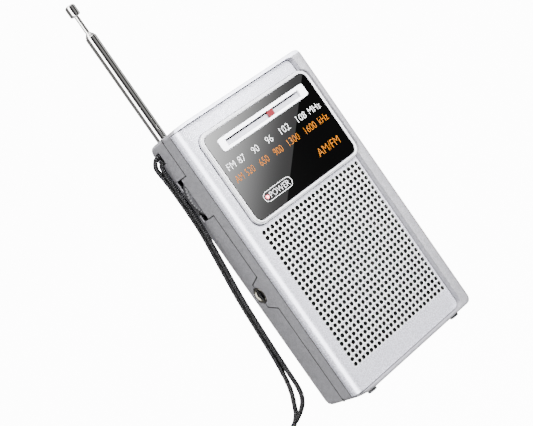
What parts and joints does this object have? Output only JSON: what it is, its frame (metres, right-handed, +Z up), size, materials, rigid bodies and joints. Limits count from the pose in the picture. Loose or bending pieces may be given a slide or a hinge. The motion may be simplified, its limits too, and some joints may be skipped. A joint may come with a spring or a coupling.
{
  "type": "transistor pocket radio",
  "caption": "Upright pocket radio: silver front with a dial window and perforated speaker grille, side thumbwheels, folding telescopic antenna and wrist strap.",
  "frame": {"origin": "centre of the case's width and depth, on the surface the feet stand on (the bounding box's bottom centre without the wrist strap)", "axes": "front faces -Y, +X is the viewer's right when facing the front, +Z is up; the antenna stands along +Z"},
  "size_m": [0.1227, 0.035, 0.1803],
  "materials": {
    "silver_paint": "satin silver paint with fine flake, on moulded plastic",
    "grey_plastic": "matte mid-grey moulded plastic, faintly speckled",
    "silver_panel": "satin silver sheet, painted",
    "black_gloss": "black glossy dial window",
    "white_plastic": "white moulded plastic",
    "black_plastic": "matte black plastic",
    "red_plastic": "red pointer",
    "led_pink": "clear tinted indicator lamp",
    "chrome": "bright plating",
    "steel": "plain steel",
    "nickel": "dull nickel plating",
    "ferrite": "dark sintered ferrite",
    "copper": "enamelled copper wire",
    "board": "brown laminate board",
    "paper": "black pressed paper",
    "cloth": "thin black cloth behind the grille",
    "rubber": "black rubber",
    "braid": "black braided cord"
  },
  "bodies": {
    "case": {"front_case": "silver_paint", "rear_case": "grey_plastic", "front_panel": "silver_panel", "dust_cloth": "cloth", "dial_bezel": "chrome", "dial_lens": "black_gloss", "slot_frame": "white_plastic", "pointer_track": "white_plastic", "power_led": "led_pink", "idler_post": "steel", "volume_control": "steel", "tuning_capacitor": "white_plastic", "circuit_board": "board", "ferrite_rod": "ferrite", "ferrite_coil": "copper", "ferrite_clip_left": "white_plastic", "ferrite_clip_right": "white_plastic", "speaker_frame": "steel", "speaker_magnet": "steel", "speaker_cone": "paper", "earphone_jack": "black_plastic", "jack_ring": "nickel", "band_switch_body": "steel", "battery_tray": "grey_plastic", "contact_bridge": "nickel", "contact_lower": "nickel", "contact_upper": "nickel", "battery_spring_left": "nickel", "battery_spring_right": "nickel", "case_screw_lower_left": "steel", "case_screw_lower_right": "steel", "case_screw_upper_left": "steel", "case_screw_upper_right": "steel", "foot_front_left": "rubber", "foot_front_right": "rubber", "foot_rear_left": "rubber", "foot_rear_right": "rubber", "strap_bar": "steel", "wrist_strap": "braid", "dial_cord": "braid"},
    "tuning": {"tuning_wheel": "grey_plastic", "tuning_drum": "white_plastic", "tuning_wheel_screw": "steel"},
    "pointer": {"tuning_pointer": "red_plastic", "pointer_arm": "white_plastic"},
    "idler": {"idler_pulley": "white_plastic"},
    "volume": {"volume_wheel": "grey_plastic", "volume_wheel_screw": "steel"},
    "band_knob": {"band_switch_knob": "black_plastic"},
    "door": {"battery_door": "grey_plastic"},
    "mast": {"antenna_fork": "chrome", "antenna_pin": "steel"},
    "antenna_outer": {"antenna_tongue": "chrome", "antenna_tube_1": "chrome"},
    "antenna_second": {"antenna_tube_2": "chrome"},
    "antenna_third": {"antenna_tube_3": "chrome"},
    "antenna_fourth": {"antenna_tube_4": "chrome"},
    "antenna_tip": {"antenna_rod": "chrome", "antenna_cap": "chrome"}
  },
  "joints": [
    {"name": "tuning_turn", "type": "hinge", "parent": "case", "child": "tuning", "pos_m": [0.0219, 0.0038, 0.0945], "axis": [0, 1, 0], "range_deg": [-133, 67]},
    {"name": "pointer_travel", "type": "slide", "parent": "case", "child": "pointer", "axis": [1, 0, 0], "range_m": [-0.0217, 0.011]},
    {"name": "idler_turn", "type": "hinge", "parent": "case", "child": "idler", "pos_m": [-0.018, 0.0038, 0.1013], "axis": [0, 1, 0], "range_deg": [-496, 251]},
    {"name": "volume_turn", "type": "hinge", "parent": "case", "child": "volume", "pos_m": [-0.0234, 0.0038, 0.0945], "axis": [0, 1, 0], "range_deg": [-150, 120]},
    {"name": "band_switch_slide", "type": "slide", "parent": "case", "child": "band_knob", "axis": [0, 0, 1], "range_m": [-0.0048, 0]},
    {"name": "battery_door_swing", "type": "hinge", "parent": "case", "child": "door", "pos_m": [0, 0.0142, 0.0058], "axis": [-1, 0, 0], "range_deg": [0, 90]},
    {"name": "antenna_swivel", "type": "hinge", "parent": "case", "child": "mast", "pos_m": [-0.0268, 0.01, 0.115], "axis": [0, 0, 1], "range_deg": [0, 90]},
    {"name": "antenna_tilt", "type": "hinge", "parent": "mast", "child": "antenna_outer", "pos_m": [-0.0268, 0.01, 0.115], "axis": [0, 1, 0], "range_deg": [0, 90]},
    {"name": "second_section_slide", "type": "slide", "parent": "antenna_outer", "child": "antenna_second", "axis": [0, 0, 1], "range_m": [0, 0.038]},
    {"name": "third_section_slide", "type": "slide", "parent": "antenna_second", "child": "antenna_third", "axis": [0, 0, 1], "range_m": [0, 0.038]},
    {"name": "fourth_section_slide", "type": "slide", "parent": "antenna_third", "child": "antenna_fourth", "axis": [0, 0, 1], "range_m": [0, 0.038]},
    {"name": "tip_section_slide", "type": "slide", "parent": "antenna_fourth", "child": "antenna_tip", "axis": [0, 0, 1], "range_m": [-0.0076, 0.036]}
  ],
  "couplings": [
    {"joint": "pointer_travel", "follows": "tuning_turn", "m_per_rad": 0.0093},
    {"joint": "idler_turn", "follows": "tuning_turn", "ratio": 3.72}
  ]
}
